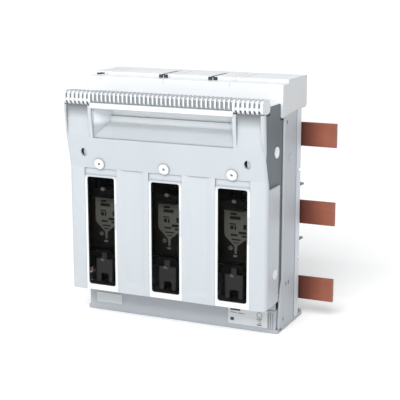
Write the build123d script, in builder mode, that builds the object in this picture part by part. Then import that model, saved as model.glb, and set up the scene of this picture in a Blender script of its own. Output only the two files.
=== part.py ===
from build123d import *
import os

os.makedirs("parts", exist_ok=True)

# Fuse switch disconnector, three poles, hooked onto three horizontal busbars.
# Millimetres. X runs along the busbars, Y from the front to the rear, Z up.
# The origin is the centre of the bottom plate's underside.

# Overall layout
pole_pitch = 89.5
pole_width = 89.0
plate_depth = 89.0
plate_thickness = 4.6
plate_lip = 3.4
clearance = 0.15

# Busbars
bar_pitch = 100.0
bar_height = 30.0
bar_thickness = 5.0
bar_length = 357.0
bar_edge = 0.6
lowest_bar_z = 39.7
clamp_hook = 3.0

# Housing
housing_depth = 56.0
side_wall_thickness = 2.5
side_front_inset = 15.0
side_foot_inset = 4.5
side_knee_inset = 9.3
side_edge_bevel = 1.5
back_wall_thickness = 4.0
back_groove = 1.5
partition_thickness = 3.0
adapter_depth = 15.0
adapter_wall = 2.5
bar_pad = 3.0
bar_pad_inset = 14.0
shelf_reach = 13.5
shelf_root = 5.0
shelf_tip = 2.4
shelf_droop = 1.9
upper_shelf_rise = 36.8
lower_shelf_drop = 34.2

# Lower cover
lower_cover_top = 30.0
lower_cover_wall = 2.5
lower_cover_depth = 26.0
cover_gap = 0.5
rating_plate_size = (53.0, 22.0)
rating_plate_x = 94.2
holder_size = (38.0, 13.5)
holder_x = -102.0
holder_rise = 0.9

# Top cover
cover_front_inset = 8.0
cover_height = 44.0
cover_overhang = 18.0
cover_wall = 2.5
shoulder_over_bar = 28.9
shoulder_over_chamber = 6.6
shoulder_rise = 4.3
ledge_depth = 18.8
ledge_drop = 4.7
groove_x = 34.0
groove_width = 2.4
groove_end_gap = 12.0
arch_inset = 15.0
arch_rise = 14.5

# Lid
lid_lift = 10.0
lid_over_shoulder = 10.4
lid_front_offset = 41.0
lid_rear_gap = 0.3
lid_rear_lean = 1.4
lid_top_reach = 6.0
lid_front_wall = 3.0
lid_wall = 2.5
lid_side_wall = 2.8
lid_corner_radius = 5.5
lid_low_corner = 4.0
sill_drop = 41.0
sill_rise = 9.0
bend_drop = 38.7
brow_rise = 13.1
brow_border = 4.5
side_opening_drop = 10.8
side_opening_width = 5.0

# Dark cheeks on both sides of the lid
cheek_thickness = 2.0
cheek_rear_reach = 20.5
cheek_lift = 16.0
cheek_gap = 0.2

# Grip pocket and grip bar
pocket_half_width = 94.0
pocket_taper = 14.0
pocket_depth = 23.0
pocket_floor_rise = 18.0
pocket_step_drop = 15.0
pocket_step = 2.0
pocket_wall = 2.5
sill_groove = 1.2
lip_drop = 4.0
lip_height = 8.0
lip_reach = 0.9
grip_length = 264.0
grip_depth = 24.5
grip_height = 17.0
grip_corner = 6.0
grip_spine_depth = 10.5
grip_spine_inset = 2.0
rib_pitch = 5.8
rib_thickness = 2.2
end_rib_thickness = 3.2
rib_height = 2.6

# Inspection windows
window_width = 38.3
window_lift = 7.5
window_top_drop = 12.0
window_radius = 3.0
slide_width = 44.6
slide_side_gap = 0.2
slide_back_gap = 0.1
slide_bottom_gap = 0.3
slide_undercut = 0.5
slide_thickness = 1.4
slide_rim = 2.5
slide_corner = 1.5
track_depth = 1.5
track_top_gap = 8.8
pane_thickness = 0.9
dome_radius = 7.1
dome_rise = 1.5
dome_height = 6.0
dome_hole_radius = 1.6
valley_width = 34.0
valley_floor_width = 22.0
valley_depth = 1.5

# Lid hinge
hinge_forward = 5.0
hinge_lift = 5.0
hinge_pin_radius = 3.0
hinge_pin_inset = 0.9
hinge_boss_radius = 5.0
hinge_running_gap = 0.06
hinge_side_gap = 0.5
hinge_lug_thickness = 6.0
hinge_boss_length = 4.0

# Fuse links
fuse_width = 66.0
fuse_depth = 60.0
fuse_corner = 13.0
fuse_body_height = 68.0
fuse_length = 150.0
fuse_lift = 11.0
fuse_front_gap = 13.0
end_plate = 3.0
end_plate_inset = 2.0
blade_thickness = 6.0
blade_width = 36.0
blade_proud = 8.0
lug_width = 24.0
lug_reach = 10.5

# Fuse carriers
carrier_half_width = 30.0
carrier_rail = 5.0
carrier_margin = 9.0
carrier_bar = 8.0

# Contacts
jaw_height = 28.0
jaw_sheet = 3.0
jaw_root_gap = 6.0
jaw_mouth_gap = 8.0
jaw_end_gap = 1.0
spring_sheet = 1.2
spring_height = 12.0
contact_bar_width = 24.0
contact_bar = 5.0
contact_seat = 4.0
strap_thickness = 5.0
strap_foot = 11.0
bolt_radius = 6.0
bolt_head_radius = 10.0
bolt_head = 8.0
feed_bolt_head_radius = 7.0
feed_bolt_head = 5.0
terminal_drop = 14.0
terminal_margin = 10.0
feed_top = 4.0
feed_foot = 18.0

# Arc chambers
chamber_lift = 13.0
chamber_width = 40.0
chamber_wall = 2.5
chamber_height = 48.0
chamber_depth = 33.0
arc_plate = 1.5
arc_plate_pitch = 8.0
arc_plate_count = 5

# Places across and from front to rear
pole_x = [-pole_pitch, 0.0, pole_pitch]
half_width = pole_pitch + pole_width / 2
inner_x = half_width - side_wall_thickness
plate_front = -plate_depth / 2
plate_rear = plate_depth / 2
cover_front = plate_front + cover_front_inset
side_front = plate_front + side_front_inset
back_front = plate_front + housing_depth
back_rear = back_front + back_wall_thickness
adapter_rear = back_rear + adapter_depth
bar_front = adapter_rear + bar_pad
bar_rear = bar_front + bar_thickness
cover_rear = adapter_rear + cover_overhang
lid_front = plate_front - lid_front_offset
sill_front = lid_front - sill_rise
brow_front = lid_front - brow_rise
grip_front = brow_front - lip_reach
grip_rear = grip_front + grip_depth
lip_rear = brow_front + 7.0
lid_rear = plate_front - lid_rear_gap
hinge_y = plate_front - hinge_forward
fuse_front = lid_front + lid_front_wall + fuse_front_gap
fuse_rear = fuse_front + fuse_depth
blade_rear = fuse_rear + blade_proud
contact_front = back_front - contact_seat - contact_bar
boss_inner = inner_x - hinge_boss_length
lug_inner = boss_inner - hinge_side_gap - hinge_lug_thickness

# Heights, from the lower cover up
bar_z = [lowest_bar_z + 2 * bar_pitch, lowest_bar_z + bar_pitch, lowest_bar_z]
lid_bottom_z = lower_cover_top + lid_lift
hinge_z = lid_bottom_z + hinge_lift
window_bottom_z = lid_bottom_z + window_lift
fuse_z = lid_bottom_z + fuse_lift + fuse_length / 2
upper_jaw_z = fuse_z + fuse_length / 2 - jaw_end_gap - jaw_height
lower_jaw_z = fuse_z - fuse_length / 2 + jaw_end_gap
terminal_z = lower_jaw_z - terminal_drop
feed_z = (bar_z[0] - feed_foot, bar_z[0] + feed_top)
chamber_bottom_z = fuse_z + fuse_length / 2 + chamber_lift
chamber_top_z = chamber_bottom_z + chamber_height
shoulder_front_z = max(bar_z[0] + shoulder_over_bar, chamber_top_z + shoulder_over_chamber)
shoulder_rear_z = shoulder_front_z + shoulder_rise
body_height = shoulder_front_z + cover_height
lid_top_z = shoulder_front_z + lid_over_shoulder
lip_bottom_z = lid_top_z - lip_drop
brow_z = lip_bottom_z - 5.0
pocket_step_z = lid_top_z - pocket_step_drop
sill_z = lid_top_z - sill_drop
lid_bend_z = sill_z - bend_drop
side_opening_z = lid_bend_z - side_opening_drop
window_top_z = lid_bend_z - window_top_drop
window_height = window_top_z - window_bottom_z
window_middle_z = (window_top_z + window_bottom_z) / 2

# Sloping shoulder where the top cover meets the housing
shoulder_bend_y = cover_front + 0.54 * (back_front - cover_front)
shoulder_bend_z = shoulder_front_z + 0.74 * shoulder_rise
shoulder_slope = (shoulder_bend_z - shoulder_front_z) / (shoulder_bend_y - cover_front)
side_top_z = shoulder_front_z + shoulder_slope * (side_front - cover_front)


def block(x, y, z, mode=Mode.ADD):
    """A rectangular block between three pairs of limits."""
    with Locations((x[0], y[0], z[0])):
        Box(x[1] - x[0], y[1] - y[0], z[1] - z[0], align=(Align.MIN,) * 3, mode=mode)


def outline(points):
    """A closed face through straight corners."""
    Polygon(*points, align=None)


def eased(y, z, radius):
    """Points of a rectangle whose corners are each rounded off in two flats."""
    cut = 0.293 * radius
    return [
        (y[0], z[0] + radius), (y[0] + cut, z[0] + cut), (y[0] + radius, z[0]),
        (y[1] - radius, z[0]), (y[1] - cut, z[0] + cut), (y[1], z[0] + radius),
        (y[1], z[1] - radius), (y[1] - cut, z[1] - cut), (y[1] - radius, z[1]),
        (y[0] + radius, z[1]), (y[0] + cut, z[1] - cut), (y[0], z[1] - radius),
    ]


def save(builder, name):
    builder.part.label = name
    export_step(builder.part, f"parts/{name}.step")


def bottom_plate():
    """Flat foot with a low rear lip and a grooved break-out for each pole's cables."""
    knockout = 46.0
    groove = 1.6
    groove_depth = 1.2
    notch = (5.0, 7.0, 2.4)
    with BuildPart() as plate:
        block((-half_width, half_width), (plate_front, plate_rear), (0, plate_thickness))
        block(
            (-half_width, half_width),
            (plate_rear - plate_lip, plate_rear),
            (plate_thickness, plate_thickness + plate_lip),
        )
        chamfer(plate.edges().filter_by(Axis.X).group_by(Axis.Z)[-1], length=1.0)
        chamfer(plate.edges().filter_by(Axis.Z).group_by(Axis.Y)[0], length=1.5)
        with BuildSketch(Plane.XY):
            with Locations(*[(x, 0) for x in pole_x]):
                Rectangle(knockout, knockout)
                Rectangle(knockout - 2 * groove, knockout - 2 * groove, mode=Mode.SUBTRACT)
        extrude(amount=groove_depth, mode=Mode.SUBTRACT)
        with Locations((half_width, plate_front + 10.0, plate_thickness)):
            Box(*notch, align=(Align.CENTER, Align.CENTER, Align.MAX), mode=Mode.SUBTRACT)
    save(plate, "bottom_plate")


def lower_cover():
    """Folded front cover under the lid: a front face, a top shelf and two end returns."""
    end = inner_x - cover_gap
    shelf_rear = plate_front + lower_cover_depth
    middle_z = (plate_thickness + lower_cover_top) / 2
    groove_strip = 10.0
    groove_pitch = 3.0
    with BuildPart() as cover:
        with BuildSketch(Plane.YZ.offset(-end)):
            outline(
                [
                    (plate_front, plate_thickness),
                    (plate_front, lower_cover_top),
                    (shelf_rear, lower_cover_top),
                    (shelf_rear, lower_cover_top - lower_cover_wall),
                    (plate_front + lower_cover_wall, lower_cover_top - lower_cover_wall),
                    (plate_front + lower_cover_wall, plate_thickness),
                ]
            )
        extrude(amount=2 * end)
        for side in (-1, 1):
            low, high = sorted((side * end, side * (end - lower_cover_wall)))
            block((low, high), (plate_front, shelf_rear), (plate_thickness, lower_cover_top))
        front_edges = cover.edges().filter_by(Axis.X).group_by(Axis.Y)[0]
        fillet(front_edges.sort_by(Axis.Z)[-1:], radius=1.5)
        for step in range(3):
            x = end - groove_strip + step * groove_pitch
            block(
                (x, x + 1.2), (plate_front, plate_front + 0.8),
                (plate_thickness, lower_cover_top - 4.0), Mode.SUBTRACT,
            )
    save(cover, "lower_cover")

    with BuildPart() as plate:
        with Locations((rating_plate_x, plate_front, middle_z)):
            Box(
                rating_plate_size[0], 0.6, rating_plate_size[1],
                align=(Align.CENTER, Align.MAX, Align.CENTER),
            )
        chamfer(plate.edges().filter_by(Axis.Y), length=1.0)
    save(plate, "rating_plate")

    with BuildPart() as holder:
        with Locations((holder_x, plate_front, middle_z)):
            Box(
                holder_size[0], holder_rise, holder_size[1],
                align=(Align.CENTER, Align.MAX, Align.CENTER),
            )
        chamfer(holder.edges().filter_by(Axis.Y), length=1.0)
        front_face = holder.faces().sort_by(Axis.Y)[0]
        chamfer(front_face.edges(), length=0.6)
    save(holder, "label_holder")


def side_wall(side, name):
    """End wall with a stepped front edge, small slots and the lid's hinge lug."""
    foot_z = plate_thickness + 10.0
    knee_z = lid_bottom_z + 15.0
    step_z = knee_z + 11.0
    web_front = side_front - 6.0
    web_rear = web_front + 8.0
    bevel = 0.414 * hinge_boss_radius
    lug_z = (hinge_z - hinge_boss_radius, hinge_z + hinge_boss_radius)
    slot_width = 3.0
    slot_height = 5.0
    mark_y = side_front + 21.0
    mark_z = lid_bend_z + 17.7
    with BuildPart() as wall:
        with BuildSketch(Plane.YZ.offset(inner_x)):
            outline(
                [
                    (plate_front + side_foot_inset, plate_thickness),
                    (plate_front + side_foot_inset, foot_z),
                    (plate_front + side_knee_inset, knee_z),
                    (side_front, step_z),
                    (side_front, side_top_z),
                    (shoulder_bend_y, shoulder_bend_z),
                    (back_front, shoulder_rear_z),
                    (back_front, plate_thickness),
                ]
            )
        extrude(amount=side_wall_thickness)
        front_edges = wall.edges().filter_by(lambda e: e.center().X > half_width - 0.1)
        front_edges = front_edges.filter_by(lambda e: e.center().Y < side_front + 0.1)
        chamfer(front_edges, length=side_edge_bevel)
        with BuildSketch(Plane.YZ.offset(lug_inner)):
            outline(
                [
                    (hinge_y - hinge_boss_radius, hinge_z - bevel),
                    (hinge_y - bevel, lug_z[0]),
                    (web_rear, lug_z[0]),
                    (web_rear, lug_z[1]),
                    (hinge_y - bevel, lug_z[1]),
                    (hinge_y - hinge_boss_radius, hinge_z + bevel),
                ]
            )
        extrude(amount=hinge_lug_thickness)
        block((lug_inner, inner_x), (web_front, web_rear), lug_z)
        with Locations(Plane.YZ.offset(lug_inner)):
            with Locations((hinge_y, hinge_z)):
                Cylinder(
                    hinge_pin_radius, hinge_lug_thickness,
                    align=(Align.CENTER, Align.CENTER, Align.MIN), mode=Mode.SUBTRACT,
                )
        slots = [
            (side_front + 7.8, side_top_z - 7.4),
            (side_front + 12.3, step_z - 8.0),
            (side_front + 21.5, step_z - 8.0),
            (side_front + 4.0, foot_z),
        ]
        for y, z in slots:
            block(
                (half_width - 1.0, half_width), (y - slot_width / 2, y + slot_width / 2),
                (z - slot_height / 2, z + slot_height / 2), Mode.SUBTRACT,
            )
        block((half_width, half_width + 0.4), (mark_y - 5.5, mark_y + 5.5), (mark_z - 4.2, mark_z + 4.2))
        if side < 0:
            mirror(about=Plane.YZ, mode=Mode.REPLACE)
    save(wall, name)


def base_moulding():
    """Back wall with the two partitions between the poles and the seats of the contacts."""
    edge = half_width - back_groove
    seat_half = contact_bar_width / 2
    shelf_rear = plate_front + lower_cover_depth + 0.3
    partition_front = cover_front + 2.5
    with BuildPart() as base:
        block((-edge, edge), (back_front, back_rear), (plate_thickness, shoulder_rear_z))
        for x in (-pole_pitch / 2, pole_pitch / 2):
            with BuildSketch(Plane.YZ.offset(x - partition_thickness / 2)):
                outline(
                    [
                        (shelf_rear, plate_thickness),
                        (shelf_rear, lower_cover_top + 3.0),
                        (partition_front, lower_cover_top + 16.0),
                        (partition_front, shoulder_front_z),
                        (back_front, shoulder_rear_z),
                        (back_front, plate_thickness),
                    ]
                )
            extrude(amount=partition_thickness)
        for x in pole_x:
            block(
                (x - seat_half, x + seat_half), (back_front - contact_seat, back_front),
                (terminal_z - terminal_margin, lower_jaw_z + jaw_height),
            )
            block(
                (x - seat_half, x + seat_half), (back_front - contact_seat, back_front),
                (upper_jaw_z, upper_jaw_z + jaw_height),
            )
            block(
                (x - seat_half - clearance, x + seat_half + clearance),
                (back_front - contact_seat, back_rear),
                (feed_z[0] - clearance, feed_z[1] + clearance), Mode.SUBTRACT,
            )
            with Locations(Plane.XZ.offset(-back_front + contact_seat)):
                with Locations((x, terminal_z)):
                    Cylinder(
                        bolt_radius, contact_seat + back_wall_thickness,
                        align=(Align.CENTER, Align.CENTER, Align.MAX), mode=Mode.SUBTRACT,
                    )
    save(base, "base_moulding")


def adapter():
    """Rear tub that seats on the busbars, with a low pad behind each bar and notched edges."""
    foot_half = contact_bar_width / 2 + clearance
    foot_reach = strap_foot + clearance
    pad_half = half_width - bar_pad_inset
    notch = 3.0
    notch_depth = 6.0
    notch_height = 4.5
    with BuildPart() as tub:
        block(
            (-half_width, half_width), (back_rear, adapter_rear), (plate_thickness, shoulder_rear_z)
        )
        block(
            (-half_width + adapter_wall, half_width - adapter_wall),
            (back_rear, adapter_rear - adapter_wall),
            (plate_thickness + adapter_wall, shoulder_rear_z - adapter_wall),
            Mode.SUBTRACT,
        )
        chamfer(tub.edges().filter_by(Axis.Z).group_by(Axis.Y)[-1], length=0.8)
        for z in bar_z:
            block((-pad_half, pad_half), (adapter_rear, bar_front), (z - 9.0, z + 9.0))
        for x, z in zip(pole_x, bar_z):
            block(
                (x - foot_half, x + foot_half),
                (adapter_rear - adapter_wall, bar_front),
                (z - foot_reach, z + foot_reach),
                Mode.SUBTRACT,
            )
        for side in (-1, 1):
            low, high = sorted((side * half_width, side * (half_width - notch)))
            for z in (bar_z[1] + 53.0, bar_z[1] - 61.5):
                block(
                    (low, high), (adapter_rear - notch_depth, adapter_rear),
                    (z, z + notch_height), Mode.SUBTRACT,
                )
    save(tub, "adapter")


def phase_shelves():
    """Two insulating wedges behind the adapter, one in each space between the busbars."""
    tip = adapter_rear + shelf_reach
    with BuildPart() as shelves:
        for root_z in (bar_z[1] + upper_shelf_rise, bar_z[1] - lower_shelf_drop):
            tip_z = root_z - shelf_droop
            with BuildSketch(Plane.YZ):
                outline(
                    [
                        (adapter_rear, root_z - shelf_root / 2),
                        (adapter_rear, root_z + shelf_root / 2),
                        (tip, tip_z + shelf_tip / 2),
                        (tip, tip_z - shelf_tip / 2),
                    ]
                )
            extrude(amount=half_width, both=True)
    save(shelves, "phase_shelves")


def top_cover():
    """Hood over the upper terminals: stepped top with slots and seams, arched front edge."""
    ledge_rear = cover_front + ledge_depth
    ledge_z = body_height - ledge_drop
    open_z = shoulder_front_z - 2.0
    groove_rear = cover_rear - groove_end_gap
    seam = 0.7
    seam_depth = 0.5
    with BuildPart() as cover:
        with BuildSketch(Plane.YZ):
            outline(
                [
                    (cover_front, shoulder_front_z),
                    (shoulder_bend_y, shoulder_bend_z),
                    (back_front, shoulder_rear_z),
                    (cover_rear, shoulder_rear_z),
                    (cover_rear, body_height),
                    (ledge_rear, body_height),
                    (ledge_rear, ledge_z),
                    (cover_front, ledge_z),
                ]
            )
        extrude(amount=half_width, both=True)
        long_edges = cover.edges().filter_by(Axis.X)
        fillet(long_edges.group_by(Axis.Y)[-1].sort_by(Axis.Z)[:1], radius=5.0)
        chamfer(cover.edges().filter_by(Axis.X).group_by(Axis.Y)[0].sort_by(Axis.Z)[-1:], length=1.0)
        with BuildSketch(Plane.YZ):
            outline(
                [
                    (cover_front + cover_wall, open_z),
                    (cover_front + cover_wall, ledge_z - cover_wall),
                    (ledge_rear + cover_wall, ledge_z - cover_wall),
                    (ledge_rear + cover_wall, body_height - cover_wall),
                    (cover_rear - cover_wall, body_height - cover_wall),
                    (cover_rear - cover_wall, open_z),
                ]
            )
        extrude(amount=half_width - cover_wall, both=True, mode=Mode.SUBTRACT)
        with BuildSketch(Plane.XZ.offset(-cover_front)):
            with BuildLine():
                low = (half_width - 2.0, open_z)
                bend = (half_width - 6.4, shoulder_front_z + 7.0)
                knee = (half_width - arch_inset, shoulder_front_z + arch_rise)
                Line((-low[0], low[1]), low)
                ThreePointArc(low, bend, knee)
                Line(knee, (-knee[0], knee[1]))
                ThreePointArc((-knee[0], knee[1]), (-bend[0], bend[1]), (-low[0], low[1]))
            make_face()
        extrude(amount=-cover_wall, mode=Mode.SUBTRACT)
        for x in (-groove_x, groove_x):
            block(
                (x - groove_width / 2, x + groove_width / 2), (ledge_rear + cover_wall, groove_rear),
                (body_height - cover_wall, body_height), Mode.SUBTRACT,
            )
            block(
                (x - groove_width / 2, x + groove_width / 2),
                (cover_front + 6.0, ledge_rear),
                (ledge_z - cover_wall, ledge_z),
                Mode.SUBTRACT,
            )
            for shift in (-3.5, 3.5):
                block(
                    (x + shift - 1.6, x + shift + 1.6), (ledge_rear, ledge_rear + cover_wall),
                    (ledge_z + 0.3, ledge_z + 3.3), Mode.SUBTRACT,
                )
        block(
            (-half_width + 9.0, -half_width + 15.5), (ledge_rear, ledge_rear + cover_wall),
            (ledge_z + 1.0, ledge_z + 3.2), Mode.SUBTRACT,
        )
        for x in pole_x:
            for shift in (12.0, 26.0):
                block(
                    (x + shift - 3.0, x + shift + 3.0), (groove_rear - 2.3, groove_rear - 0.8),
                    (body_height - cover_wall, body_height), Mode.SUBTRACT,
                )
            for shift in (-29.5, -17.0):
                block(
                    (x + shift - seam / 2, x + shift + seam / 2),
                    (ledge_rear, groove_rear - 2.0),
                    (body_height - seam_depth, body_height),
                    Mode.SUBTRACT,
                )
            seam_x = (x - 25.5 - seam / 2, x - 25.5 + seam / 2)
            block(seam_x, (ledge_rear, ledge_rear + seam_depth), (ledge_z, body_height), Mode.SUBTRACT)
            block(seam_x, (cover_front, ledge_rear), (ledge_z - seam_depth, ledge_z), Mode.SUBTRACT)
            block(
                seam_x, (cover_front, cover_front + seam_depth),
                (ledge_z - 5.0, ledge_z), Mode.SUBTRACT,
            )
    save(cover, "top_cover")

    with BuildPart() as clips:
        for x in (-groove_x, groove_x):
            block(
                (x - groove_width / 2, x + groove_width / 2),
                (groove_rear - 10.0, groove_rear - 3.0),
                (body_height - cover_wall, body_height - 0.3),
            )
    save(clips, "cover_clips")


def busbars():
    """Three flat copper bars, each gripped by the clamp of its own pole."""
    for number, (x, z) in enumerate(zip(pole_x, bar_z), start=1):
        low = z - bar_height / 2
        high = z + bar_height / 2
        half = contact_bar_width / 2
        with BuildPart() as bar:
            block((-bar_length / 2, bar_length / 2), (bar_front, bar_rear), (low, high))
            chamfer(bar.edges().filter_by(Axis.X), length=bar_edge)
        save(bar, f"busbar_{number}")

        with BuildPart() as clamp:
            with BuildSketch(Plane.YZ.offset(x - half)):
                outline(
                    [
                        (adapter_rear, high),
                        (adapter_rear, high + clamp_hook),
                        (bar_rear + clamp_hook - 1.5, high + clamp_hook),
                        (bar_rear + clamp_hook, high + clamp_hook - 1.5),
                        (bar_rear + clamp_hook, high - 12.0),
                        (bar_rear, high - 10.0),
                        (bar_rear, high),
                    ]
                )
            extrude(amount=contact_bar_width)
        save(clamp, f"bar_clamp_{number}")

        with BuildPart() as strap:
            block(
                (x - half, x + half), (back_rear, back_rear + strap_thickness),
                (z - strap_foot, feed_z[1]),
            )
            block(
                (x - half, x + half), (back_rear + strap_thickness, bar_front),
                (z - strap_foot, z + strap_foot),
            )
        save(strap, f"feed_strap_{number}")


def jaw_leaf(side, root_y):
    """Centre line of one sprung jaw leaf, from the contact bar to the flared mouth."""
    grip = blade_thickness / 2 + clearance + jaw_sheet / 2
    root = jaw_root_gap + jaw_sheet / 2
    mouth = jaw_mouth_gap + jaw_sheet / 2
    front = root_y - blade_width - 2.0
    return [
        (side * root, root_y),
        (side * root, root_y - 6.0),
        (side * grip, root_y - 14.0),
        (side * grip, front + 5.0),
        (side * mouth, front),
    ]


def contact(x, z_low, bar_limits, foot, name):
    """A copper contact bar with two facing jaw leaves; a feed contact has a foot through the wall."""
    half = contact_bar_width / 2
    with BuildPart() as jaws:
        block((x - half, x + half), (contact_front, contact_front + contact_bar), bar_limits)
        for side in (-1, 1):
            with BuildSketch(Plane.XY.offset(z_low)):
                with BuildLine(Location((x, 0, 0))):
                    Polyline(*jaw_leaf(side, contact_front))
                trace(line_width=jaw_sheet)
            extrude(amount=jaw_height)
        if foot:
            block((x - half, x + half), (contact_front + contact_bar, back_rear), feed_z)
        else:
            with Locations(Plane.XZ.offset(-contact_front)):
                with Locations((x, terminal_z)):
                    Cylinder(
                        bolt_radius, contact_bar,
                        align=(Align.CENTER, Align.CENTER, Align.MAX), mode=Mode.SUBTRACT,
                    )
    save(jaws, name)


def contacts():
    upper_bar = (upper_jaw_z - 2.0, feed_z[1])
    lower_bar = (terminal_z - terminal_margin, lower_jaw_z + jaw_height + 2.0)
    for number, x in enumerate(pole_x, start=1):
        contact(x, upper_jaw_z, upper_bar, True, f"upper_contact_{number}")
        contact(x, lower_jaw_z, lower_bar, False, f"lower_contact_{number}")
        with BuildPart() as springs:
            for low in (upper_jaw_z, lower_jaw_z):
                middle = low + jaw_height / 2
                for side in (-1, 1):
                    leaf = jaw_leaf(side, contact_front)
                    reach = jaw_sheet / 2 + spring_sheet / 2
                    grip_x = leaf[2][0] + side * reach
                    with BuildSketch(Plane.XY.offset(middle - spring_height / 2)):
                        with BuildLine(Location((x, 0, 0))):
                            Polyline(
                                (grip_x, leaf[2][1] - 0.5),
                                (grip_x, leaf[3][1] + 1.0),
                                (grip_x + side * 2.0, leaf[3][1] - 1.0),
                            )
                        trace(line_width=spring_sheet)
                    extrude(amount=spring_height)
        save(springs, f"contact_springs_{number}")


def bolts():
    """Hexagon terminal bolts below the lower contacts, and the feed bolts above."""
    with BuildPart() as terminal:
        for x in pole_x:
            with BuildSketch(Plane.XZ.offset(-contact_front)):
                with Locations((x, terminal_z)):
                    RegularPolygon(bolt_head_radius, 6)
            extrude(amount=bolt_head)
            with BuildSketch(Plane.XZ.offset(-contact_front)):
                with Locations((x, terminal_z)):
                    Circle(bolt_radius)
            extrude(amount=-(contact_bar + contact_seat + back_wall_thickness))
    save(terminal, "terminal_bolts")

    with BuildPart() as feed:
        for x in pole_x:
            with BuildSketch(Plane.XZ.offset(-contact_front)):
                with Locations((x, (feed_z[0] + feed_z[1]) / 2)):
                    RegularPolygon(feed_bolt_head_radius, 6)
            extrude(amount=feed_bolt_head)
    save(feed, "feed_bolts")


def arc_chambers():
    """Arc chutes above the upper jaws: a U-shaped insulating cage with steel splitter plates."""
    front = contact_front - chamber_depth
    half = chamber_width / 2
    for number, x in enumerate(pole_x, start=1):
        with BuildPart() as cage:
            block((x - half, x + half), (front, back_front), (chamber_bottom_z, chamber_top_z))
            block(
                (x - half + chamber_wall, x + half - chamber_wall), (front, back_front),
                (chamber_bottom_z, chamber_top_z - chamber_wall), Mode.SUBTRACT,
            )
        save(cage, f"arc_chamber_{number}")

    plate = half - chamber_wall
    plate_y = (front + 2.0, front + chamber_depth - 6.0)
    bevel = 5.0
    with BuildPart() as plates:
        for x in pole_x:
            for step in range(arc_plate_count):
                with BuildSketch(Plane.XY.offset(chamber_bottom_z + 4.0 + step * arc_plate_pitch)):
                    outline(
                        [
                            (x - plate, plate_y[0] + bevel), (x - plate + bevel, plate_y[0]),
                            (x + plate - bevel, plate_y[0]), (x + plate, plate_y[0] + bevel),
                            (x + plate, plate_y[1]), (x - plate, plate_y[1]),
                        ]
                    )
                extrude(amount=arc_plate)
    save(plates, "arc_plates")


def hinge_pins():
    with BuildPart() as pins:
        with BuildSketch(Plane.YZ.offset(lug_inner)):
            with Locations((hinge_y, hinge_z)):
                Circle(hinge_pin_radius)
        extrude(amount=half_width - hinge_pin_inset - lug_inner)
        mirror(about=Plane.YZ)
    save(pins, "hinge_pins")


def lid_front_line(front_wall, wall):
    """Side outline of the lid's front, from bottom to top, moved inward by its walls."""
    return [
        (lid_front + front_wall, lid_bottom_z + wall),
        (lid_front + front_wall, lid_bend_z),
        (sill_front + front_wall, sill_z),
        (brow_front + front_wall, brow_z),
        (brow_front + front_wall, lid_top_z - wall),
    ]


def lid_hollow():
    """The space inside the lid, open to the rear."""
    beyond = lid_rear + 30.0
    with BuildPart(mode=Mode.PRIVATE) as hollow:
        with BuildSketch(Plane.YZ):
            outline(
                [
                    *lid_front_line(lid_front_wall, lid_wall),
                    (beyond, lid_top_z - lid_wall),
                    (beyond, lid_bottom_z + lid_wall),
                ]
            )
        extrude(amount=half_width - lid_side_wall, both=True)
    return hollow.part


def pocket(skin):
    """The finger pocket grown by a skin, with side walls that close in towards the back."""
    front = brow_front - 5.0
    neck = sill_front + 3.0
    back = sill_front + pocket_depth
    floor_back = sill_z + pocket_floor_rise
    wide = pocket_half_width + skin
    narrow = pocket_half_width - pocket_taper + skin
    with BuildPart(mode=Mode.PRIVATE) as trough:
        with BuildSketch(Plane.YZ):
            outline(
                [
                    (front, sill_z - skin - 4.0),
                    (sill_front, sill_z - skin),
                    (back + skin, floor_back - skin),
                    (back + skin, pocket_step_z),
                    (back + pocket_step + skin, pocket_step_z),
                    (back + pocket_step + skin, lid_top_z - lid_wall),
                    (brow_front + lid_front_wall, lid_top_z - lid_wall),
                    (brow_front + lid_front_wall, lip_bottom_z),
                    (front, lip_bottom_z),
                ]
            )
        extrude(amount=wide, both=True)
        with BuildSketch(Plane.XY):
            outline(
                [
                    (-wide, front), (wide, front), (wide, neck),
                    (narrow, back + pocket_step + skin), (-narrow, back + pocket_step + skin),
                    (-wide, neck),
                ]
            )
        extrude(amount=lid_top_z + lip_height, mode=Mode.INTERSECT)
    return trough.part


def lip_block(mode=Mode.ADD):
    """The long lip over the finger pocket, in front of the grip bar."""
    half = pocket_half_width + 1.0
    block((-half, half), (grip_front, lip_rear), (lip_bottom_z, lip_bottom_z + lip_height), mode)


def lid_shell():
    """The swing-out lid: hollow moulding with window tracks, recessed brow ends and hinge bosses."""
    slope = Vector(0, -sill_rise, sill_z - lid_bend_z).normalized()
    outward = Vector(0, -slope.Z, slope.Y)
    with BuildPart() as lid:
        with BuildSketch(Plane.YZ):
            outline(
                [
                    *lid_front_line(0.0, 0.0),
                    (lid_rear + lid_top_reach, lid_top_z),
                    (lid_rear + lid_rear_lean, side_opening_z),
                    (lid_rear, lid_bottom_z),
                ]
            )
        extrude(amount=half_width, both=True)
        corners = lid.edges().filter_by(lambda e: abs(e.center().X) > half_width - 0.1)
        corners = corners.filter_by(
            lambda e: e.center().Y < lid_front + 1.0 and e.length > 8.0 and e.center().Z < brow_z
        )
        fillet(corners, radius=lid_corner_radius)
        add(lid_hollow(), mode=Mode.SUBTRACT)
        brow_ends()
        add(pocket(0.0), mode=Mode.SUBTRACT)
        block(
            (-pocket_half_width, pocket_half_width),
            (sill_front + sill_groove / 2, sill_front + 1.5 * sill_groove),
            (sill_z - sill_groove / 4, sill_z + sill_groove), Mode.SUBTRACT,
        )
        lip_block()
        lip = lid.edges().filter_by(Axis.X).filter_by(
            lambda e: e.center().Y < grip_front + 0.1 and e.length > pocket_half_width
        )
        fillet(lip, radius=2.5)
        side_openings()
        for x in pole_x:
            window_track(x)
            dome(x, outward)
        for x in (-pole_pitch / 2, pole_pitch / 2):
            valley(x)
        seal_holes(outward)
        hinge_bosses()
    save(lid, "lid_shell")


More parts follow.
